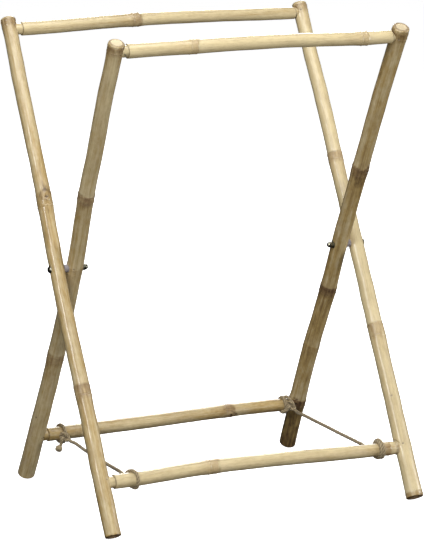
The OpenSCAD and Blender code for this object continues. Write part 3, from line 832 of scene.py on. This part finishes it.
def bamboo(name, seed):
    """Varnished bamboo: a tone that drifts along the pole with clouds, streaks and long fibres,
    a brown belt at each node with a warm tinge below and a pale bloom above it, specks, dark
    marks, and cut ends with their dots of fibre."""
    s = Shader(name, PALE, 0.42)
    s.shade.inputs["Coat Roughness"].default_value = 0.2
    s.shade.inputs["Specular IOR Level"].default_value = 0.4
    straight = s.attribute("grain").outputs[1]
    grain = s.node("ShaderNodeVectorMath", {"operation": "ADD"}, i0=straight,
                   i1=(0.37 * seed, 0.11 * seed, 0.53 * seed)).outputs[0]
    marks = s.attribute("marks").outputs["Fac"]
    shade = s.attribute("shade").outputs["Fac"]
    cut = s.attribute("cut").outputs["Fac"]

    fibre = s.noise(s.stretched(grain, (1000, 1000, 16)), detail=4, rough=0.6)
    streak = s.noise(s.stretched(grain, (190, 190, 7)), detail=4, rough=0.6)
    cloud = s.noise(s.stretched(grain, (75, 75, 26)), detail=5, rough=0.65, distort=0.5)
    blotch = s.noise(s.stretched(grain, (160, 160, 85)), detail=4, rough=0.6)
    speck = s.noise(s.stretched(grain, (620, 620, 330)), detail=2, rough=0.5)

    drift = s.math("ADD", s.centred(cloud, 0.75), s.centred(streak, 1.3))
    drift = s.math("ADD", drift, s.math("ADD", s.centred(fibre, 0.9), s.centred(blotch, 0.7)))
    drift = s.math("MULTIPLY", drift, s.math("ADD", s.math("MULTIPLY", shade, 0.75), 0.5))
    tone = s.math("ADD", shade, drift)
    colour = s.mix(s.ramp(tone, 0.0, 0.25), rgba(*PALE), rgba(*STRAW))
    colour = s.mix(s.ramp(tone, 0.25, 0.5), colour, rgba(*OLIVE))
    colour = s.mix(s.ramp(tone, 0.5, 1.0), colour, rgba(*UMBER))

    weather = s.noise(s.stretched(grain, (48, 48, 15)), detail=4, rough=0.6)
    colour = s.mix(s.math("MULTIPLY", s.ramp(weather, 0.55, 0.72), 0.3), colour, s.mix(
        s.ramp(tone, 0.1, 0.7), rgba(0.44, 0.335, 0.25), rgba(0.13, 0.08, 0.045)))
    warm = s.math("MULTIPLY", s.attribute("warm").outputs["Fac"], s.ramp(cloud, 0.3, 0.6))
    colour = s.mix(s.math("MULTIPLY", warm, 0.55), colour, s.mix(
        s.ramp(tone, 0.1, 0.7), rgba(0.48, 0.33, 0.15), rgba(0.12, 0.07, 0.03)))
    bloom = s.attribute("bloom").outputs["Fac"]
    colour = s.mix(s.math("MULTIPLY", bloom, 0.35), colour, s.mix(
        s.ramp(tone, 0.1, 0.8), rgba(0.68, 0.57, 0.36), rgba(0.32, 0.24, 0.13)))
    belt = s.math("MULTIPLY", s.attribute("belt").outputs["Fac"], s.ramp(blotch, 0.2, 0.5))
    colour = s.mix(s.math("MULTIPLY", belt, 0.85), colour, s.mix(
        s.ramp(tone, 0.1, 0.7), rgba(0.27, 0.165, 0.08), rgba(0.085, 0.042, 0.018)))

    fleck = s.noise(s.stretched(grain, (520, 520, 75)), detail=3, rough=0.6)
    colour = s.mix(s.math("MULTIPLY", s.ramp(fleck, 0.6, 0.72), 0.4), colour, s.mix(
        s.ramp(tone, 0.1, 0.7), rgba(0.33, 0.235, 0.125), rgba(0.07, 0.042, 0.02)))
    dots = s.math("MULTIPLY", s.ramp(speck, 0.7, 0.75), s.ramp(cloud, 0.5, 0.6))
    colour = s.mix(s.math("MULTIPLY", dots, 0.5), colour, rgba(0.12, 0.07, 0.03))
    colour = s.mix(s.math("MULTIPLY", marks, s.ramp(speck, 0.15, 0.5)), colour,
                   rgba(*SOOT))

    flat = s.node("ShaderNodeVectorMath", {"operation": "MULTIPLY"}, i0=straight, i1=(1, 1, 0))
    out = s.node("ShaderNodeVectorMath", {"operation": "LENGTH"}, i0=flat.outputs[0])
    rim = s.ramp(out.outputs["Value"], *WALL_FROM)
    pith = s.node("ShaderNodeTexVoronoi", None, Vector=straight, Scale=900.0)
    pores = s.math("ADD", s.math("MULTIPLY", s.ramp(pith.outputs["Distance"], 0.6, 0.2), 0.45), 0.55)
    end_wood = s.mix(s.math("MULTIPLY", pores, rim), s.mix(
        s.ramp(shade, 0.55, 0.9), rgba(0.66, 0.56, 0.37), rgba(0.24, 0.155, 0.08)),
        rgba(*FIBRE_DOT))
    colour = s.mix(cut, colour, end_wood)
    s.feed("Base Color", colour)

    dull = s.math("ADD", s.math("MULTIPLY", s.ramp(cloud, 0.35, 0.7), 0.16), 0.34)
    dull = s.math("ADD", dull, s.math("MULTIPLY", s.math("ADD", belt, cut, True), 0.3))
    s.feed("Roughness", dull)
    bare = s.math("MAXIMUM", s.math("MAXIMUM", marks, cut), s.math("MULTIPLY", belt, 0.6))
    s.feed("Coat Weight", s.math("MULTIPLY", s.math("SUBTRACT", 1.0, bare), 0.6))
    s.relief(fibre, 0.25, 0.0004)
    s.relief(blotch, 0.35, 0.0009)
    return s


def rope_material():
    """Twisted jute: fibres that lean along each strand, painted shade in the grooves, dusty sheen.
    """
    s = Shader("jute", (0.36, 0.29, 0.21), 0.9)
    s.shade.inputs["Sheen Weight"].default_value = 0.12
    s.shade.inputs["Sheen Roughness"].default_value = 0.5
    s.shade.inputs["Specular IOR Level"].default_value = 0.2
    lay = s.attribute("lay").outputs[1]
    groove = s.attribute("groove").outputs["Fac"]
    hair = s.noise(s.stretched(lay, (1500, 1500, 420)), detail=4, rough=0.65, distort=0.6)
    patch = s.noise(s.stretched(lay, (60, 60, 45)), detail=3)
    colour = s.mix(s.ramp(hair, 0.35, 0.68), rgba(0.47, 0.375, 0.225), rgba(0.19, 0.14, 0.075))
    colour = s.mix(s.ramp(patch, 0.4, 0.7), colour, rgba(0.34, 0.275, 0.17))
    # Painted shade: the grooves between strands are darkened almost to black, standing in for the
    # shade that falls in them.
    colour = s.mix(s.math("MULTIPLY", s.ramp(groove, 0.35, 0.95), 0.9), colour,
                   rgba(0.065, 0.045, 0.026))
    s.feed("Base Color", colour)
    s.relief(hair, 0.8, 0.0006)
    return s


def steel(name, colour, rough):
    """Plated steel with a fine brushed grain and dull patches."""
    s = Shader(name, colour, rough)
    s.shade.inputs["Metallic"].default_value = 1.0
    place = s.node("ShaderNodeTexCoord").outputs["Object"]
    grain = s.noise(s.stretched(place, (2200, 700, 700)), detail=3)
    patch = s.noise(place, scale=260, detail=3)
    shade = s.mix(s.ramp(patch, 0.35, 0.7), rgba(*colour), rgba(*[0.55 * c for c in colour]))
    s.feed("Base Color", shade)
    s.feed("Roughness", s.math("ADD", s.math("MULTIPLY", patch, 0.25), rough - 0.1))
    s.relief(grain, 0.15, 0.0002)
    return s


def plastic():
    """Matt moulded plastic, slightly mottled, its whitish colour darkened as painted shade."""
    s = Shader("spacer_plastic", (0.5, 0.47, 0.5), 0.5)
    place = s.node("ShaderNodeTexCoord").outputs["Object"]
    mottle = s.noise(place, scale=420, detail=3)
    # Painted shade: both greys are darker than the whitish plastic, standing in for the shade
    # between the legs where the spacers sit.
    s.feed("Base Color", s.mix(s.ramp(mottle, 0.3, 0.7), rgba(0.36, 0.33, 0.35),
                               rgba(0.25, 0.23, 0.24)))
    s.relief(mottle, 0.2, 0.0003)
    return s


for seed, (name, piece) in enumerate({**legs, **rails}.items()):
    bamboo(name + "_finish", seed).wear(piece)

jute = rope_material()
for piece in (stay_left, stay_right, knot_rear_left, knot_rear_right, knot_front_left,
              knot_front_right, ball):
    jute.wear(piece)

# Painted reflection: the plated steel's colour is darkened to stand in for dark surroundings
# mirrored in the plating, which on its own is pale.
plated_steel_painted_reflection = steel("plated_steel", (0.33, 0.315, 0.24), 0.27)
dull = steel("pin_steel", (0.3, 0.27, 0.22), 0.45)
# The spacers' plastic, greyed as painted shade.
white = plastic()
for name, node in frame["nodes"].items():
    if name.startswith(("pivot_bolt", "nut_washer", "cap_nut")):
        plated_steel_painted_reflection.wear(node)
    elif name.endswith("rail_pins"):
        dull.wear(node)
    elif name.startswith("spacer"):
        white.wear(node)

# --- floor and light -----------------------------------------------------------------------


FLOOR_HALF = 30                  # metres from the middle to each side
FLOOR_GLOW = 0.96


def make_floor():
    """A wide white floor with a faint mottle. It glows a little, as paper lit from behind does,
    and throws no light back up at the rack."""
    mesh = bpy.data.meshes.new("floor")
    half = FLOOR_HALF
    mesh.from_pydata([(-half, -half, 0), (half, -half, 0), (half, half, 0), (-half, half, 0)],
                     [], [(0, 1, 2, 3)])
    floor = bpy.data.objects.new("floor", mesh)
    bpy.context.scene.collection.objects.link(floor)
    s = Shader("floor_paper", (0.9, 0.9, 0.9), 0.9)
    s.shade.inputs["Emission Color"].default_value = (1, 1, 1, 1)
    s.shade.inputs["Emission Strength"].default_value = FLOOR_GLOW
    place = s.node("ShaderNodeTexCoord").outputs["Object"]
    s.feed("Base Color", s.mix(s.noise(place, scale=3), rgba(0.93, 0.93, 0.93),
                               rgba(0.9, 0.9, 0.9)))
    s.wear(floor)
    floor.visible_diffuse = False
    floor.visible_glossy = False


def soft_light(name, place, target, size, power):
    """A white softbox of a width and a height at a place, aimed at a target."""
    lamp = bpy.data.objects.new(name, bpy.data.lights.new(name, "AREA"))
    lamp.data.shape = "RECTANGLE"
    lamp.data.size, lamp.data.size_y = size
    lamp.data.energy = power
    lamp.location = place
    aim = Vector(target) - Vector(place)
    lamp.rotation_euler = aim.to_track_quat("-Z", "Y").to_euler()
    bpy.context.scene.collection.objects.link(lamp)


make_floor()
soft_light("top_box", (-0.2, -1.0, 3.2), (0, 0, 0.4), (2.2, 2.2), 80)
soft_light("left_strip", (-3.0, -1.9, 2.6), (0, 0, 0.4), (0.35, 1.2), 58)
soft_light("right_box", (2.9, -1.6, 0.8), (0, 0, 0.4), (1.2, 1.2), 56)
soft_light("front_box", (-1.6, -4.0, 0.6), (0, 0, 0.3), (1.4, 1.4), 86)
soft_light("back_box", (1.6, 3.4, 2.4), (0, 0, 0.4), (1.6, 1.6), 80)

# The sky's strength rises from 0.1 to 0.3 between two heights of the direction seen.
SKY = (-0.5, 0.6, 0.1, 0.3)

world = bpy.data.worlds.new("studio")
world.use_nodes = True
sky = world.node_tree
way = sky.nodes.new("ShaderNodeTexCoord")
height = sky.nodes.new("ShaderNodeSeparateXYZ")
fade = sky.nodes.new("ShaderNodeMapRange")
for socket, value in zip(fade.inputs[1:5], SKY):
    socket.default_value = value
sky.links.new(way.outputs["Generated"], height.inputs[0])
sky.links.new(height.outputs["Z"], fade.inputs["Value"])
sky.links.new(fade.outputs[0], sky.nodes["Background"].inputs["Strength"])
bpy.context.scene.world = world
bpy.context.scene.view_settings.view_transform = "Standard"
